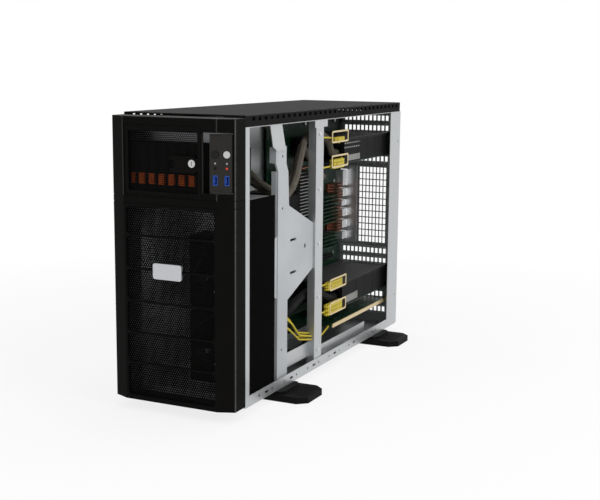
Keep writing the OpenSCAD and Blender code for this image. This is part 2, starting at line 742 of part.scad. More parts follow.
module backplane() {
    color([0.1, 0.3, 0.16]) place() {
        box(cage_x0, cage_x1 + 14, cage_y1 + 0.2, cage_y1 + 2, cage_z0, cage_z1 + 6);
        for (i = [0:7]) {
            x = first_carrier + (i + 0.5) * carrier_pitch - 3;
            box(x, x + 5, cage_y1 - 4, cage_y1 + 0.2, cage_z0 + 20, cage_z0 + 60);
        }
        box(cage_x1 + 2, cage_x1 + 12, cage_y1 + 2, cage_y1 + 10, cage_z0 + 6, cage_z0 + 66);
        for (i = [0:3]) {
            box(-40 + i * 22, -28 + i * 22, cage_y1 + 2, cage_y1 + 12, cage_z0 + 52, cage_z0 + 60);
        }
    }
}

// ---- board and cards ----

module motherboard() {
    color([0.05, 0.22, 0.12]) place() side_plate(board_x, board_face) difference() {
        translate([board_y0, board_z0]) rrect(board_y1 - board_y0, board_z1 - board_z0, 3);
        for (y = stud_y) {
            for (z = stud_z) { translate([y, z]) circle(1.6); }
        }
    }
}

module board_standoffs() {
    color([0.78, 0.66, 0.36]) place() {
        for (y = stud_y) {
            for (z = stud_z) {
                translate([tray_x + sheet, y, z]) rotate([0, 90, 0])
                    cylinder(r = 3.2, h = board_x - tray_x - sheet, $fn = 6);
            }
        }
    }
}

module board_sockets() {
    color([0.09, 0.09, 0.1]) place() {
        for (i = [0:1]) {
            box(board_face, board_face + 7, cooler_y[i] + 10, cooler_y[i] + 70, cooler_z[i] + 8,
                cooler_z[i] + 72);
        }
        for (z = dimm_z) { box(board_face, board_face + 8, dimm_y0 - 5, dimm_y0 + 138, z - 2.9, z + 2.9); }
        for (z = [gpu1_z, gpu1_z - slot_pitch, gpu2_z, gpu2_z + 3 * slot_pitch, card3_z, card3_z - 28]) {
            difference() {
                box(board_face, slot_face, card_y1 - 140, card_y1 - 50, z - 2.9, z + 4.5);
                box(slot_face - 7.4, slot_face + 1, card_y1 - 137, card_y1 - 53, z - 0.3, z + 1.9);
            }
        }
        // main power socket and data sockets
        box(board_face, board_face + 12, board_y0 + 28, board_y0 + 38, 118, 162);
        box(board_face, board_face + 9, board_y0 + 100, board_y0 + 114, 300, 316);
        for (i = [0:2]) {
            box(board_face, board_face + 7, board_y0 + 12, board_y0 + 26, 30 + i * 22, 46 + i * 22);
        }
    }
}

module heatsink(n, fin, x0, x1, y0, y1, z0, z1, base) {
    box(x0, x0 + base, y0, y1, z0, z1);
    for (i = [0:n - 1]) {
        z = z0 + i * (z1 - z0 - fin) / (n - 1);
        box(x0 + base, x1, y0 + 2, y1 - 2, z, z + fin);
    }
}

module cooler(i) {
    heatsink(14, 1.2, board_face + 7, board_face + 60, cooler_y[i], cooler_y[i] + cooler_w, cooler_z[i],
        cooler_z[i] + cooler_w, 6);
}
module cooler_1() { color([0.68, 0.69, 0.7]) place() cooler(0); }
module cooler_2() { color([0.68, 0.69, 0.7]) place() cooler(1); }

module memory_modules() {
    color([0.1, 0.35, 0.2]) place() {
        for (z = dimm_z) {
            difference() {
                box(board_face + 8, board_face + 36, dimm_y0, dimm_y0 + 133, z - 0.7, z + 0.7);
                box(board_face + 22, board_face + 27, dimm_y0 - 1, dimm_y0 + 2, z - 1, z + 1);
            }
            for (k = [0:7]) {
                box(board_face + 14, board_face + 24, dimm_y0 + 6 + k * 15.6, dimm_y0 + 18 + k * 15.6,
                    z - 1.7, z + 1.7);
            }
        }
    }
}

module vrm_heatsinks() {
    color([0.62, 0.33, 0.16]) place() {
        heatsink(9, 1.4, board_face, board_face + 26, vrm_y, vrm_y + 30, 196, 246, 5);
        heatsink(7, 1.4, board_face, board_face + 26, vrm_y, vrm_y + 30, 256, 292, 5);
        heatsink(6, 1.4, board_face, board_face + 16, board_y0 + 118, board_y0 + 154, 304, 338, 4);
    }
}

module gpu(z0) {
    t = card_thick;
    difference() {
        union() {
            box(slot_face + 1, card_reach - 0.6, card_y0 + 3, card_y1, z0 + 1.7, z0 + t);
            // lighter tail with the power plug housings
            box(slot_face + 1, card_reach, card_y0, card_y0 + 62, z0 + 1.7, z0 + t - 3);
        }
        // panel joints on the edge that faces the open side
        for (y = [card_y0 + 66, card_y0 + 110, card_y0 + 152, card_y0 + 196]) {
            box(card_reach - 1.6, card_reach + 1, y, y + 1, z0 + 4, z0 + t + 1);
        }
        // air intake in the front end
        for (i = [0:5]) {
            box(14 + i * 11, 22 + i * 11, card_y0 - 1, card_y0 + 10, z0 + 8, z0 + t - 8);
        }
        // plug pocket
        box(card_reach - 28, card_reach - 8, card_y0 - 1, card_y0 + 12, z0 + 8, z0 + 30);
        // shallow field on the broad face
        box(20, card_reach - 14, card_y0 + 76, card_y1 - 22, z0 + t - 0.8, z0 + t + 1);
    }
}
module gpu_1() { color([0.12, 0.12, 0.13]) place() gpu(gpu1_z); }
module gpu_2() { color([0.12, 0.12, 0.13]) place() gpu(gpu2_z); }

module card_boards() {
    color([0.07, 0.25, 0.13]) place() {
        for (z = [gpu1_z, gpu2_z]) {
            box(slot_face, card_reach - 1, card_y0 + 2, card_y1, z, z + 1.6);
            box(slot_face - 7, slot_face, card_y1 - 136, card_y1 - 54, z, z + 1.6);
        }
        box(slot_face, card_reach - 2, card3_y0, card_y1, card3_z, card3_z + 1.6);
        box(slot_face - 7, slot_face, card_y1 - 136, card_y1 - 54, card3_z, card3_z + 1.6);
        for (i = [0:4]) {
            box(20 + i * 13, 29 + i * 13, card_y1 - 240, card_y1 - 216, card3_z + 1.6, card3_z + 4);
        }
    }
}

module end_loop(z, h) {
    side_plate(card_reach, card_reach + 1.2) difference() {
        translate([card_y0 - 58, z]) rrect(74, h, 3);
        translate([card_y0 - 55, z + 3]) rrect(68, h - 6, 2);
    }
}

module card_trims() {
    color([0.86, 0.72, 0.48]) place() {
        // plug guards at the front ends of the two large cards
        for (z0 = [gpu1_z, gpu2_z]) {
            end_loop(z0 + card_thick - 5, 22);
            end_loop(z0 - 4, 23);
        }
        // stiffener along the third card
        box(card_reach - 2, card_reach, card3_y0 + 2, card_y1 - 8, card3_z - 2, card3_z + 5);
    }
}

module bracket(z0, h) {
    upright(card_y1, rear_y) difference() {
        translate([-12, z0]) square([118, h]);
        for (i = [0:8]) { translate([8 + i * 9, z0 + 4]) square([6, h - 8]); }
    }
}

module card_brackets() {
    color([0.82, 0.83, 0.85]) place() {
        bracket(gpu1_z - 1, 2 * slot_pitch - 1.9);
        bracket(gpu2_z - 1, 2 * slot_pitch - 1.9);
        bracket(card3_z - 1, 18.4);
    }
}

module slot_covers() {
    color([0.82, 0.83, 0.85]) place() {
        for (z = blank_z) {
            upright(card_y1, rear_y) difference() {
                translate([-12, z - 9.2]) square([118, 18.4]);
                for (i = [0:10]) { translate([-4 + i * 9, z - 5]) square([5.6, 10]); }
            }
        }
    }
}

module io_shield() {
    color([0.8, 0.81, 0.82]) place() {
        upright(rear_y - 0.8, rear_y) difference() {
            translate([-21, 165]) square([45, 162]);
            for (z = [172, 196, 220, 262]) { translate([-12, z]) square([14, 16]); }
            translate([-13, 284]) square([15, 34]);
            translate([-12, 242]) square([12, 12]);
        }
        // port bodies on the board
        for (z = [172, 196, 220, 262]) { box(board_face, 1.6, rear_y - 22, rear_y - 0.8, z + 0.4, z + 15.6); }
        box(board_face, 1.6, rear_y - 22, rear_y - 0.8, 285, 317);
        box(board_face, -0.4, rear_y - 22, rear_y - 0.8, 242.4, 253.6);
    }
}

// ---- power modules ----

module psu_cage() {
    x1 = psu_x1 + 1.2;
    z1 = psu_z[1] + psu_height + 0.6;
    color([0.7, 0.72, 0.74]) place() {
        box(-in_x, x1 + sheet, psu_y0 - 12, rear_y, z1, z1 + sheet);
        box(-in_x, x1, psu_y0, rear_y, shelf_z, shelf_z + sheet);
        box(x1, x1 + sheet, psu_y0 - 12, rear_y, pan_top, z1);
        box(-in_x, x1, psu_y0 - 12, psu_y0 - 10, pan_top, z1);
        for (z = psu_z) { box(psu_x0 + 20, psu_x0 + 56, psu_y0 - 10, psu_y0 - 1, z + 12, z + 28); }
    }
}

module psu(z0) {
    difference() {
        box(psu_x0, psu_x0 + psu_width, psu_y0, rear_y, z0, z0 + psu_height);
        // mains inlet
        box(psu_x0 + 6, psu_x0 + 30, rear_y - 14, rear_y + 1, z0 + 12, z0 + 28);
        // vent
        for (i = [0:2]) {
            box(psu_x0 + 40 + i * 6.6, psu_x0 + 44.6 + i * 6.6, rear_y - 8, rear_y + 1, z0 + 6, z0 + 34);
        }
        // latch pocket
        box(psu_x1 - 9.8, psu_x1 - 1.8, rear_y - 30, rear_y + 1, z0 + 13, z0 + 27);
        box(psu_x1 - 3, psu_x1 + 1, rear_y - 15, rear_y - 7, z0 + 16, z0 + 24);
    }
    // pull handle
    box(psu_x0 + 34, psu_x0 + 38, rear_y, depth - 2, z0 + 14, z0 + 26);
    box(psu_x0 + 60, psu_x0 + 64, rear_y, depth - 2, z0 + 14, z0 + 26);
    box(psu_x0 + 34, psu_x0 + 64, depth - 6, depth - 2, z0 + 14, z0 + 26);
}
module psu_1() { color([0.66, 0.67, 0.69]) place() psu(psu_z[0]); }
module psu_2() { color([0.66, 0.67, 0.69]) place() psu(psu_z[1]); }

module psu_latch(z0) {
    box(psu_x1 - 6.1, psu_x1 - 2.3, rear_y - 28, rear_y + 9, z0 + 13.5, z0 + 26.5);
    box(psu_x1 - 3.3, psu_x1 + 0.8, rear_y - 14, rear_y - 8, z0 + 17, z0 + 23);
}
module psu_1_latch() { color([0.75, 0.2, 0.12]) place() psu_latch(psu_z[0]); }
module psu_2_latch() { color([0.75, 0.2, 0.12]) place() psu_latch(psu_z[1]); }

// ---- leads ----

module sleeved_bundles() {
    color([0.3, 0.28, 0.25]) place() {
        tube(smooth(route_a, 2), 6, 8);
        tube(smooth(route_b, 2), 6.5, 8);
    }
}

module black_bundles() {
    color([0.04, 0.04, 0.04]) place() {
        tube(smooth(route_c, 2), 8, 8);
        tube(smooth(route_d, 1), 7, 8);
        tube(smooth(route_e, 2), 5, 8);
    }
}

module yellow_wires() {
    color([0.95, 0.8, 0.1]) place() {
        for (r = route_y) { tube(r, 1.6, 8, [0, 0, 1]); }
    }
}

bezel_frame();
lower_grille();
bezel_door();
door_mesh();
door_lock();
badge_plate();
control_panel();
power_button();
reset_button();
usb_ports();
panel_lamps();
top_cover();
roof_panel();
left_wall();
floor_pan();
front_wall();
rear_panel();
board_tray();
fan_wall();
side_baffle();
k_bracket();
upper_tab();
post();
foot_front_right();
foot_front_left();
foot_rear_right();
foot_rear_left();
screws();
fan_1_frame();
fan_1_rotor();
fan_2_frame();
fan_2_rotor();
mid_fan_frame();
mid_fan_rotor();
drive_cage();
drive_carriers();
carrier_latches();
backplane();
motherboard();
board_standoffs();
board_sockets();
cooler_1();
cooler_2();
memory_modules();
vrm_heatsinks();
gpu_1();
gpu_2();
card_boards();
card_trims();
card_brackets();
slot_covers();
io_shield();
psu_cage();
psu_1();
psu_2();
psu_1_latch();
psu_2_latch();
sleeved_bundles();
black_bundles();
yellow_wires();
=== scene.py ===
"""Tower GPU server with its side cover off: finishes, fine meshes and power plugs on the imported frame."""
import json
import math

import bmesh
import bpy
from mathutils import Matrix, Vector


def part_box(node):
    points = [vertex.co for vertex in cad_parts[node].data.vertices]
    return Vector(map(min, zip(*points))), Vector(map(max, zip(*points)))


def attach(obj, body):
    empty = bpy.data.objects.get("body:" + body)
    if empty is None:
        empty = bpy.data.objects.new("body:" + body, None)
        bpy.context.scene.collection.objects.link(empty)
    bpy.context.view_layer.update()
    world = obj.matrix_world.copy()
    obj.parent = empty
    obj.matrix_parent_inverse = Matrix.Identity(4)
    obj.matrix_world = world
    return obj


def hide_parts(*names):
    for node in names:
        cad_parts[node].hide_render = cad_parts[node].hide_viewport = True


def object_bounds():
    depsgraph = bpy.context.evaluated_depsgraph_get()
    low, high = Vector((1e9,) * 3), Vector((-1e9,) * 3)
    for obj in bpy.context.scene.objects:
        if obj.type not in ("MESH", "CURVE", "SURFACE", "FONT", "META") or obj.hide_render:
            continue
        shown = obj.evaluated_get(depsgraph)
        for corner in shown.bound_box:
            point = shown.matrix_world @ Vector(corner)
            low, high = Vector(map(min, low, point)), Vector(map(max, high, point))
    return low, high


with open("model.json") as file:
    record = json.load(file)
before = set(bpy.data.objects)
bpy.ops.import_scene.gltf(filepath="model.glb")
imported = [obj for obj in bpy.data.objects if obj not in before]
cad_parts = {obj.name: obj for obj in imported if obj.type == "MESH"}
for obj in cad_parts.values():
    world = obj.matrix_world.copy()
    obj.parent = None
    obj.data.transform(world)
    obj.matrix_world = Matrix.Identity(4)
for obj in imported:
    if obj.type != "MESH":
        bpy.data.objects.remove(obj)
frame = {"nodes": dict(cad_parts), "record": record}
cad_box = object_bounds()

MM = 0.001
FRONT = cad_box[0][1]
FOOT_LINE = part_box("bezel_frame")[0].z


def at(x, y, z):
    """A point in metres, given in mm from the middle plane, the bezel's face and the bezel's foot."""
    return Vector((x * MM, FRONT + y * MM, FOOT_LINE + z * MM))


# ---- node trees ----


class Value:
    """A socket. Arithmetic and comparisons on it add the Math nodes."""

    def __init__(self, graph, socket):
        self.graph, self.socket = graph, socket

    def maths(self, operation, a, b=0.0):
        return self.graph.node("ShaderNodeMath", {"operation": operation}, {0: a, 1: b})

    def __add__(self, other):
        return self.maths("ADD", self, other)

    def __radd__(self, other):
        return self.maths("ADD", other, self)

    def __sub__(self, other):
        return self.maths("SUBTRACT", self, other)

    def __rsub__(self, other):
        return self.maths("SUBTRACT", other, self)

    def __mul__(self, other):
        return self.maths("MULTIPLY", self, other)

    def __rmul__(self, other):
        return self.maths("MULTIPLY", other, self)

    def __truediv__(self, other):
        return self.maths("DIVIDE", self, other)

    def __rtruediv__(self, other):
        return self.maths("DIVIDE", other, self)

    def __gt__(self, other):
        return self.maths("GREATER_THAN", self, other)

    def __lt__(self, other):
        return self.maths("LESS_THAN", self, other)

    def __mod__(self, other):
        return self.maths("FLOORED_MODULO", self, other)

    def sine(self):
        return self.maths("SINE", self)

    def distance_from(self, centre):
        return self.maths("ABSOLUTE", self - centre)


class Graph:
    """A node tree that grows one node at a time."""

    def __init__(self, tree):
        self.tree = tree

    def node(self, kind, settings=None, inputs=None, output=0):
        """Adds a node: its settings, then the values or links of its sockets. Gives one of its outputs."""
        made = self.tree.nodes.new(kind)
        for key, value in (settings or {}).items():
            if key == "stops":
                ramp = made.color_ramp
                for spot, colour in value[2:]:
                    ramp.elements.new(spot)
                for element, (spot, colour) in zip(ramp.elements, sorted(value)):
                    element.position, element.color = spot, (*colour, 1)
            else:
                setattr(made, key, value)
        for key, value in (inputs or {}).items():
            if isinstance(value, Value):
                self.tree.links.new(value.socket, made.inputs[key])
            else:
                made.inputs[key].default_value = value
        return Value(self, made.outputs[output]) if len(made.outputs) else None


class Finish(Graph):
    """One surface finish, patterned in mm from the middle plane, the bezel's face and the bezel's foot."""

    def __init__(self, name):
        self.material = bpy.data.materials.new(name)
        self.material.use_nodes = True
        super().__init__(self.material.node_tree)
        self.tree.nodes.clear()
        spot = self.node("ShaderNodeTexCoord", output="Object")
        self.place = self.node("ShaderNodeMapping", None, {
            0: spot, "Location": (0, -FRONT / MM, -FOOT_LINE / MM), "Scale": (1 / MM,) * 3})
        parts = self.tree.nodes.new("ShaderNodeSeparateXYZ")
        self.tree.links.new(self.place.socket, parts.inputs[0])
        self.x, self.y, self.z = (Value(self, out) for out in parts.outputs)

    def noise(self, size, detail=2.0, stretch=(1, 1, 1)):
        """Soft noise from 0 to 1 whose blotches are about this many mm across, times the stretch."""
        scaled = self.node("ShaderNodeMapping", None, {0: self.place, "Scale": [1 / s for s in stretch]})
        return self.node("ShaderNodeTexNoise", None, {"Vector": scaled, "Scale": 1 / size, "Detail": detail})

    def cells(self, size, output="Distance"):
        return self.node("ShaderNodeTexVoronoi", None, {"Vector": self.place, "Scale": 1 / size}, output)

    def within(self, value, low, high):
        """1 between the two limits, and 0 outside them."""
        return (value > low) * (value < high)

    def spread(self, value, low, high):
        """Turns 0 to 1 into low to high."""
        return self.node("ShaderNodeMapRange", None, {0: value, 3: low, 4: high})

    def mixed(self, first, second, share):
        """Two colours mixed. Each is three numbers or a link."""
        pair = [c if isinstance(c, Value) else (*c, 1) for c in (first, second)]
        return self.node("ShaderNodeMix", {"data_type": "RGBA"}, {0: share, 6: pair[0], 7: pair[1]}, 2)

    def bump(self, height, depth, strength=1.0):
        """A normal from a height of 0 to 1 that stands for this many mm."""
        inputs = {"Strength": strength, "Distance": depth * MM, "Height": height}
        return self.node("ShaderNodeBump", None, inputs)

    def done(self, colour, roughness, metallic=0.0, normal=None, specular=None):
        """Gives the shader its surface and returns the material."""
        inputs = {"Base Color": colour if isinstance(colour, Value) else (*colour, 1),
                  "Roughness": roughness, "Metallic": metallic}
        if normal is not None:
            inputs["Normal"] = normal
        if specular is not None:
            inputs["Specular IOR Level"] = specular
        shader = self.node("ShaderNodeBsdfPrincipled", None, inputs)
        self.node("ShaderNodeOutputMaterial", None, {0: shader})
        return self.material


# ---- finishes ----


def shade(colour, factor):
    return tuple(channel * factor for channel in colour)


def moulded(name, colour, rough=0.5, grain=0.7, specular=0.3):
    """Moulded plastic: a fine sparked texture, a faint drift of colour and a little handling shine."""
    f = Finish(name)
    drift = f.noise(45, 3)
    skin = f.noise(grain, 2)
    surface = f.mixed(shade(colour, 0.8), shade(colour, 1.25), drift)
    return f.done(surface, f.spread(drift, rough - 0.06, rough + 0.08), 0.0, f.bump(skin, 0.05, 0.35),
                  specular=specular)


def powder(name, colour, rough=0.55, specular=0.35):
    """Powder coat on sheet: an orange-peel skin over an even colour."""
    f = Finish(name)
    peel = f.noise(1.6, 2)
    drift = f.noise(80, 2)
    surface = f.mixed(shade(colour, 0.85), shade(colour, 1.2), drift)
    return f.done(surface, f.spread(peel, rough - 0.08, rough + 0.08), 0.0, f.bump(peel, 0.08, 0.3),
                  specular=specular)


def plated(name, colour, rough=0.32, run=(1, 1, 12), cloud=14):
    """Zinc or nickel plated sheet: rolling lines along the sheet, soft clouding and a satin shine."""
    f = Finish(name)
    rolled = f.noise(1.2, 3, run)
    clouds = f.noise(cloud, 4)
    tone = f.mixed(shade(colour, 0.82), colour, clouds)
    tone = f.mixed(tone, shade(colour, 1.08), rolled * 0.4)
    return f.done(tone, f.spread(clouds * 0.6 + rolled * 0.4, rough - 0.1, rough + 0.14), 0.85,
                  f.bump(rolled, 0.03, 0.35))


def turned(name, colour, rough=0.25, metallic=1.0):
    """Small turned or drawn metal parts."""
    f = Finish(name)
    marks = f.noise(0.5, 2, (1, 5, 1))
    return f.done(f.mixed(shade(colour, 0.8), colour, marks), f.spread(marks, rough, rough + 0.15), metallic,
                  f.bump(marks, 0.02, 0.3))


def circuit(name, green, dark):
    """Solder mask with copper traces under it, pads and tiny parts."""
    f = Finish(name)
    lanes = ((f.z + f.noise(40, 2) * 8) % 2.2) < 0.7
    cross = ((f.y + f.noise(30, 2) * 6) % 3.4) < 0.6
    where = f.noise(22, 2) > 0.5
    traces = lanes * where + cross * (1 - where)
    pads = f.cells(3.6) < 0.16
    surface = f.mixed(dark, green, traces)
    surface = f.mixed(surface, (0.4, 0.38, 0.3), pads * (f.noise(14, 1) > 0.52))
    return f.done(surface, f.spread(traces, 0.42, 0.3), 0.0, f.bump(traces, 0.05, 0.4), specular=0.12)


def fins(name, colour, rough=0.3):
    """Extruded or stacked fins: bright edges with fine saw lines."""
    f = Finish(name)
    lines = f.noise(0.4, 2, (1, 20, 1))
    return f.done(f.mixed(shade(colour, 0.7), colour, lines), f.spread(lines, rough, rough + 0.2), 0.95,
                  f.bump(lines, 0.03, 0.4))


def woven(name, dark, light, pitch=2.2):
    """Braided sleeve: two sets of strands that cross as they run down the lead."""
    f = Finish(name)
    turn = 2 * math.pi / pitch
    one = ((f.y + f.z) * turn).sine()
    other = ((f.y - f.z + f.x) * turn).sine()
    weave = one * other * 0.5 + 0.5
    drift = f.noise(9, 3)
    surface = f.mixed(dark, light, weave * 0.7 + drift * 0.3)
    return f.done(surface, f.spread(weave, 0.75, 0.5), 0.0, f.bump(weave, 0.25, 0.6), specular=0.15)


def bezel_finish():
    """Matt black moulding with painted highlights along its corner edges, its nose edge and its top rim, and
    a greyer control panel.
    """
    f = Finish("bezel_plastic_finish")
    drift = f.noise(45, 3)
    side = f.x.distance_from(0)
    # painted highlights: the corner, nose and top rim edges are coloured pale grey where light catches them,
    # broken up by noise
    corner = f.within(side, 109.2, 111) * f.within(f.y, 6, 15)
    nose = f.within(side, 83.3, 84.9) * (f.y < 4) * (f.z > 330)
    rim = f.z > 453.6
    painted_edge_highlight = (corner * 0.9 + nose * 0.6 + rim * 0.7) * (f.noise(6, 2) * 0.7 + 0.4)
    panel = f.within(f.x, 59, 105) * f.within(f.z, 341, 431) * (f.y < 30)
    black = f.mixed((0.0028, 0.0027, 0.0025), (0.0052, 0.0048, 0.0044), drift)
    surface = f.mixed(f.mixed(black, (0.03, 0.0285, 0.026), panel), (0.085, 0.085, 0.083), painted_edge_highlight)
    skin = f.bump(f.noise(0.7, 2), 0.05, 0.35)
    return f.done(surface, f.spread(drift, 0.5, 0.66), 0.0, skin, specular=0.03)


def cover_finish():
    """Black powder coat with an orange-peel skin and painted highlights along its top outer edges."""
    f = Finish("cover_finish")
    peel = f.noise(1.6, 2)
    # painted highlight: the top outer edges are coloured pale grey where light catches them, broken up by
    # noise
    painted_top_edge_highlight = (f.z > 456.6) * (f.x.distance_from(0) > 109.4)
    surface = f.mixed(f.mixed((0.0045, 0.0045, 0.0043), (0.0075, 0.0075, 0.007), f.noise(80, 2)),
                      (0.06, 0.06, 0.06), painted_top_edge_highlight * f.noise(9, 2))
    return f.done(surface, f.spread(peel, 0.5, 0.66), 0.0, f.bump(peel, 0.08, 0.3), specular=0.035)


def badge_plate_finish():
    """Plain satin plate with a brushed grain across it."""
    f = Finish("badge_plate_finish")
    grain = f.noise(0.35, 2, (30, 1, 1))
    return f.done(f.mixed((0.42, 0.43, 0.45), (0.62, 0.63, 0.65), grain), f.spread(grain, 0.3, 0.42), 0.7,
                  f.bump(grain, 0.02, 0.3))


def card_shroud_finish():
    """Matt black card shroud: painted sheen on its top face and a thin painted highlight under it, white
    marks and a grey block near the front end.
    """
    f = Finish("card_shroud_finish")
    skin = f.noise(0.9, 2)
    drift = f.noise(50, 3)
    # painted light: the top face and a thin band just under it are coloured paler where they catch the light
    painted_top_sheen = f.within(f.z, 398.0, 399.7) + f.within(f.z, 126.0, 127.7)
    painted_edge_sheen = f.within(f.z, 395.8, 396.3) + f.within(f.z, 123.8, 124.3)
    face = f.x > 98.5
    dots = (((f.y - 450) % 9) < 2.4) * (((f.z - 381) % 8) < 2.4)
    dots = dots * face * f.within(f.y, 450, 523) * f.within(f.z, 380, 394)
    block = face * f.within(f.y, 466, 524) * (f.within(f.z, 357, 368) + f.within(f.z, 86, 100))
    black = f.mixed((0.003, 0.003, 0.0032), (0.008, 0.008, 0.0085), drift)
    surface = f.mixed(black, f.mixed((0.035, 0.035, 0.036), (0.055, 0.055, 0.056), drift), painted_top_sheen + painted_edge_sheen)
    surface = f.mixed(surface, (0.24, 0.24, 0.23), block)
    surface = f.mixed(surface, (0.6, 0.6, 0.58), dots)
    return f.done(surface, f.spread(skin, 0.45, 0.6), 0.0, f.bump(skin, 0.05, 0.4), specular=0.05)


def lamp_finish():
    """Lamp lenses: the red one is lit, the others are clear grey."""
    f = Finish("lamp_finish")
    red = f.within(f.z, 376, 383)
    surface = f.mixed((0.35, 0.36, 0.36), (0.75, 0.04, 0.02), red)
    return f.done(surface, f.spread(f.noise(1.5, 2), 0.15, 0.3), specular=0.5)


FINISHES = {
    "bezel_plastic": bezel_finish(),
    "grille_black": powder("grille_finish", (0.0036, 0.0034, 0.0032), 0.5, 0.03),
    "lock_metal": turned("lock_finish", (0.55, 0.55, 0.54), 0.3),
    "badge_satin": badge_plate_finish(),
    "button_dark": moulded("reset_button_finish", (0.012, 0.012, 0.012), 0.4, specular=0.1),
    "usb_blue": moulded("usb_port_finish", (0.02, 0.08, 0.4), 0.35),
    "lamp_red": lamp_finish(),
    "cover_black": cover_finish(),
    "zinc_steel": plated("zinc_sheet_finish", (0.53, 0.545, 0.555), 0.36),
    "baffle_black": moulded("baffle_finish", (0.0014, 0.0014, 0.0015), 0.75, 1.2, 0.015),
    "grey_steel": powder("bracket_grey_finish", (0.41, 0.425, 0.44), 0.45, 0.3),
    "foot_rubberised": moulded("foot_finish", (0.005, 0.005, 0.005), 0.6, 1.0, 0.06),
    "screw_steel": turned("screw_finish", (0.72, 0.73, 0.74), 0.22),
    "fan_plastic": moulded("fan_finish", (0.004, 0.004, 0.004), 0.45, specular=0.05),
    "cage_black": powder("cage_finish", (0.012, 0.012, 0.012), 0.5, 0.08),
    "latch_orange": moulded("latch_finish", (0.95, 0.17, 0.02), 0.4),
    "board_green": circuit("board_finish", (0.01, 0.05, 0.024), (0.004, 0.02, 0.01)),
    "standoff_brass": turned("standoff_finish", (0.6, 0.46, 0.22), 0.25),
    "socket_black": moulded("socket_finish", (0.008, 0.008, 0.009), 0.45, specular=0.08),
    "fin_aluminium": fins("cooler_finish", (0.3, 0.3, 0.3)),
    "copper_fin": fins("copper_finish", (0.45, 0.16, 0.08)),
    "card_black": card_shroud_finish(),
    "champagne_trim": turned("card_trim_finish", (0.74, 0.6, 0.34), 0.3, 0.5),
    "bracket_nickel": plated("slot_bracket_finish", (0.86, 0.87, 0.88), 0.3),
    "psu_steel": plated("power_module_finish", (0.6, 0.61, 0.63), 0.36, (12, 1, 1)),
    "psu_latch_red": moulded("power_latch_finish", (0.4, 0.03, 0.015), 0.4),
    "sleeve_grey_brown": woven("grey_sleeve_finish", (0.03, 0.026, 0.02), (0.17, 0.15, 0.12)),
    "sleeve_black": woven("black_sleeve_finish", (0.003, 0.003, 0.003), (0.018, 0.018, 0.018), 4.0),
    "wire_yellow": moulded("yellow_wire_finish", (0.5, 0.4, 0.035), 0.45, 1.5, 0.2),
}


def dress_frame():
    """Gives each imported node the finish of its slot."""
    for part in frame["record"]["subparts"]:
        mesh = frame["nodes"][part["node"]].data
        mesh.materials.clear()
        mesh.materials.append(FINISHES[part["material_slot"]])


# ---- making pieces ----


def piece_from(mesh, name, slot, body="chassis", replaces=()):
    """Puts a finished mesh on its body, with the finish of its slot."""
    made = bpy.data.objects.new(name, mesh)
    bpy.context.scene.collection.objects.link(made)
    if not mesh.materials:
        mesh.materials.append(FINISHES[slot])
    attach(made, body)
    if replaces:
        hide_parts(*replaces)
    return made


class Pattern(Graph):
    """A Geometry Nodes tree with named inputs, which is run once on a mesh or a curve."""

    def __init__(self, name, inputs):
        tree = bpy.data.node_groups.new(name, "GeometryNodeTree")
        tree.interface.new_socket("Geometry", in_out="INPUT", socket_type="NodeSocketGeometry")
        self.sockets = {}
        for label, value in inputs.items():
            kind = ("NodeSocketObject" if isinstance(value, bpy.types.Object) else
                    "NodeSocketMaterial" if isinstance(value, bpy.types.Material) else
                    "NodeSocketInt" if isinstance(value, int) else "NodeSocketFloat")
            socket = tree.interface.new_socket(label, in_out="INPUT", socket_type=kind)
            self.sockets[label] = socket.identifier
        tree.interface.new_socket("Geometry", in_out="OUTPUT", socket_type="NodeSocketGeometry")
        super().__init__(tree)
        self.values = inputs
        self.given = tree.nodes.new("NodeGroupInput")

    def input(self, label):
        return Value(self, self.given.outputs[label])

    def end(self, geometry):
        """Realises the instances, sets the material and closes the tree."""
        real = self.node("GeometryNodeRealizeInstances", None, {0: geometry})
        painted = self.node("GeometryNodeSetMaterial", None, {0: real, "Material": self.input("Material")})
        out = self.tree.nodes.new("NodeGroupOutput")
        self.tree.links.new(painted.socket, out.inputs[0])

    def run(self, base):
        """The tree's result on this object, as a plain mesh. The object is taken away."""
        modifier = base.modifiers.new("pattern", "NODES")
        modifier.node_group = self.tree
        for label, value in self.values.items():
            modifier[self.sockets[label]] = value
        graph = bpy.context.evaluated_depsgraph_get()
        mesh = bpy.data.meshes.new_from_object(base.evaluated_get(graph))
        base.modifiers.remove(modifier)
        bpy.data.objects.remove(base)
        return mesh


def loose(mesh, name):
    """An unfinished object for a tree to work on."""
    made = bpy.data.objects.new(name, mesh)
    bpy.context.scene.collection.objects.link(made)
    return made


def mesh_from(points, faces, name):
    mesh = bpy.data.meshes.new(name)
    mesh.from_pydata([tuple(p) for p in points], [], faces)
    mesh.update()
    return mesh


def hex_cell(pitch, web, thick):
    """One cell of a perforated sheet: a six-sided hole in a six-sided tile, in the XZ plane."""
    outer, inner = pitch / math.sqrt(3), (pitch - web) / math.sqrt(3)
    points = []
    for y, r in ((0, outer), (0, inner), (thick, inner), (thick, outer)):
        points += [(r * MM * math.sin(math.radians(60 * k)), y * MM, r * MM * math.cos(math.radians(60 * k)))
                   for k in range(6)]
    faces = []
    for ring in range(3):
        for k in range(6):
            a, b = ring * 6 + k, ring * 6 + (k + 1) % 6
            faces.append((a, b, b + 6, a + 6))
    return mesh_from(points, faces, "cell")


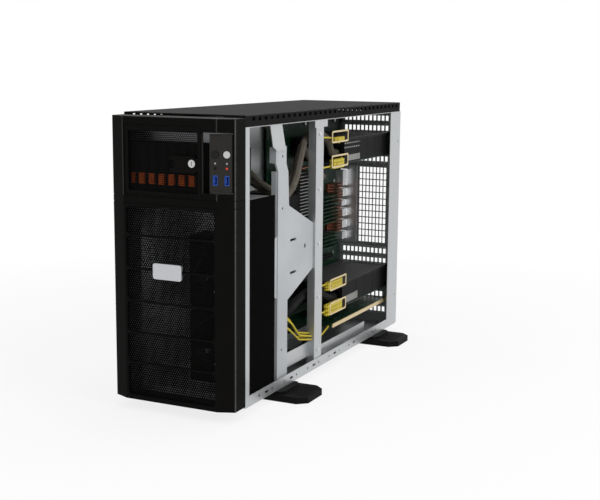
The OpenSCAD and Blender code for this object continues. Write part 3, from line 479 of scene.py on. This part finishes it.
def perforated(name, x0, x1, z0, z1, y, pitch, web, thick, finish, leave=None):
    """A perforated sheet in the XZ plane, made of hexagonal cells. leave(x, z) is true where it has none."""
    rise = pitch * math.sqrt(3) / 2
    spots = []
    for row in range(int((z1 - z0) / rise) + 1):
        z = z0 + row * rise
        for column in range(int((x1 - x0) / pitch) + 1):
            x = x0 + (column + 0.5 * (row % 2)) * pitch
            if x < x1 and not (leave and leave(x, z)):
                spots.append(at(x, y, z))
    cell = loose(hex_cell(pitch, web, thick), "cell")
    cell.hide_render = True
    tree = Pattern(name + "_pattern", {"Cell": cell, "Join": 0.02 * pitch * MM, "Material": finish})
    info = tree.node("GeometryNodeObjectInfo", {"transform_space": "ORIGINAL"}, {0: tree.input("Cell")},
                     "Geometry")
    points = tree.node("GeometryNodeMeshToPoints", None, {0: tree.input("Geometry")})
    tiles = tree.node("GeometryNodeInstanceOnPoints", None, {"Points": points, "Instance": info})
    real = tree.node("GeometryNodeRealizeInstances", None, {0: tiles})
    joined = tree.node("GeometryNodeMergeByDistance", None, {0: real, "Distance": tree.input("Join")})
    tree.end(joined)
    mesh = tree.run(loose(mesh_from(spots, [], name), name + "_spots"))
    bpy.data.objects.remove(cell)
    return mesh


# ---- camera, light and stage ----


def place_camera():
    """Looks at the open side and the bezel from the front right, a little above."""
    turn, rise, roll = (math.radians(a) for a in (25.503, 9.655, 0.516))
    ahead = Vector((-math.sin(turn) * math.cos(rise), math.cos(turn) * math.cos(rise), -math.sin(rise)))
    right = ahead.cross(Vector((0, 0, 1))).normalized()
    up = right.cross(ahead)
    leaning_right = math.cos(roll) * right + math.sin(roll) * up
    leaning_up = math.cos(roll) * up - math.sin(roll) * right
    data = bpy.data.cameras.new("camera")
    data.sensor_width = 36
    data.lens = 67.02
    camera = bpy.data.objects.new("camera", data)
    camera.matrix_world = Matrix((leaning_right, leaning_up, -ahead)).transposed().to_4x4()
    camera.location = (0.91679, -1.80725, 0.55947)
    bpy.context.scene.collection.objects.link(camera)
    bpy.context.scene.camera = camera


def area_light(name, spot, target, size, power):
    data = bpy.data.lights.new(name, "AREA")
    data.shape = "RECTANGLE"
    data.size, data.size_y = size
    data.energy = power
    lamp = bpy.data.objects.new(name, data)
    lamp.location = spot
    lamp.rotation_euler = (Vector(target) - Vector(spot)).to_track_quat("-Z", "Y").to_euler()
    bpy.context.scene.collection.objects.link(lamp)


def fading_out(graph, near, far, low):
    """Rises from low to 1 between two distances in metres from the machine."""
    spot = graph.node("ShaderNodeTexCoord", output="Object")
    away = graph.node("ShaderNodeVectorMath", {"operation": "LENGTH"}, {0: spot}, "Value")
    return graph.node("ShaderNodeMapRange", None, {0: away, 1: near, 2: far, 3: low, 4: 1.0})


def white_to_the_eye(graph, lit, seen_share):
    """Mixes a shader with plain white for the rays that show the background."""
    path = graph.tree.nodes.new("ShaderNodeLightPath")
    seen = sum((Value(graph, path.outputs[n]) for n in ("Is Glossy Ray", "Is Transmission Ray")),
               Value(graph, path.outputs["Is Camera Ray"]))
    white = graph.node("ShaderNodeEmission", None, {0: (1, 1, 1, 1), 1: 1.0})
    share = (seen > 0.5) * seen_share
    return graph.node("ShaderNodeMixShader", None, {0: share, 1: lit, 2: white})


def set_stage():
    """Pale floor, white surroundings and soft light."""
    world = bpy.data.worlds.new("world")
    world.use_nodes = True
    bpy.context.scene.world = world
    graph = Graph(world.node_tree)
    graph.tree.nodes.clear()
    soft = graph.node("ShaderNodeBackground", None, {0: (1, 1, 1, 1), 1: 0.55})
    sky = white_to_the_eye(graph, soft, 1.0)
    graph.node("ShaderNodeOutputWorld", None, {0: sky})

    reach = 9
    corners = [(-reach, -reach, 0), (reach, -reach, 0), (reach, reach, 0), (-reach, reach, 0)]
    floor = loose(mesh_from(corners, [(0, 1, 2, 3)], "floor"), "floor")
    paint = bpy.data.materials.new("floor_paint")
    paint.use_nodes = True
    graph = Graph(paint.node_tree)
    graph.tree.nodes.clear()
    matt = graph.node("ShaderNodeBsdfDiffuse", None, {0: (0.82, 0.82, 0.82, 1)})
    whiteness = fading_out(graph, 0.45, 1.3, 0.8)
    graph.node("ShaderNodeOutputMaterial", None, {0: white_to_the_eye(graph, matt, whiteness)})
    floor.data.materials.append(paint)

    area_light("side_softbox", (2.2, -0.6, 1.5), (0.1, 0.0, 0.25), (1.6, 1.2), 26)
    area_light("front_softbox", (-0.9, -2.4, 1.6), (0.0, -0.3, 0.25), (1.2, 1.2), 12)
    area_light("top_softbox", (0.3, 0.2, 2.2), (0.0, 0.0, 0.4), (1.4, 1.4), 14)
    bpy.context.scene.view_settings.view_transform = "Standard"


# ---- the machine's own pieces ----

place_camera()
set_stage()
dress_frame()


def lower_grille():
    """Fine perforated sheet behind the six windows of the bezel."""
    mesh = perforated("lower_grille_mesh", -82, 82, 5, 317, 4.3, 4.1, 1.3, 1.2, FINISHES["grille_black"])
    piece_from(mesh, "lower_grille_mesh", "grille_black", replaces=("lower_grille",))


def door_mesh():
    """Fine perforated sheet of the drive door, left out behind the latch plate."""
    def behind_latch(x, z):
        return 1 < x < 51 and 371 < z < 395
    mesh = perforated("drive_door_mesh", -74, 51, 339, 431, 4.4, 3.4, 0.95, 1.0, FINISHES["grille_black"],
                      behind_latch)
    piece_from(mesh, "drive_door_mesh", "grille_black", "door", ("door_mesh",))


def box_between(shape, low, high):
    """Adds a box with slightly broken edges to a bmesh, between two corners in mm."""
    made = bmesh.ops.create_cube(shape, size=1.0)["verts"]
    middle = (at(*low) + at(*high)) / 2
    size = at(*high) - at(*low)
    bmesh.ops.scale(shape, vec=size, verts=made)
    bmesh.ops.translate(shape, vec=middle, verts=made)
    edges = list({edge for vert in made for edge in vert.link_edges})
    bmesh.ops.bevel(shape, geom=edges, offset=0.5 * MM, segments=2, affect="EDGES")


# Foot, head and front end of each plug, in mm: two on the upper card, two on the lower one.
PLUGS = ((394.4, 404, 402), (347, 364, 399), (124.4, 139, 381), (77, 98, 381))


def power_plugs():
    """Housings of the supply leads at the front ends of the two large cards, with their ways and latches."""
    shape = bmesh.new()
    reach = 100.9
    ways = 3
    for z0, z1, y0 in PLUGS:
        pitch = (z1 - z0) / ways
        for way in range(ways):
            foot = z0 + way * pitch
            box_between(shape, (92.4, y0, foot + 0.2), (reach, 446.6, foot + pitch - 0.2))
            box_between(shape, (94, y0 - 5, foot + 1.2), (reach - 1.6, y0 + 1, foot + pitch - 1.2))
        middle = (z0 + z1) / 2
        box_between(shape, (reach - 0.6, y0 + 12, middle - 2.4), (reach + 1.2, y0 + 40, middle + 2.4))
    mesh = bpy.data.meshes.new("card_power_plugs")
    shape.to_mesh(mesh)
    shape.free()
    piece_from(mesh, "card_power_plugs", "wire_yellow")


lower_grille()
door_mesh()
power_plugs()
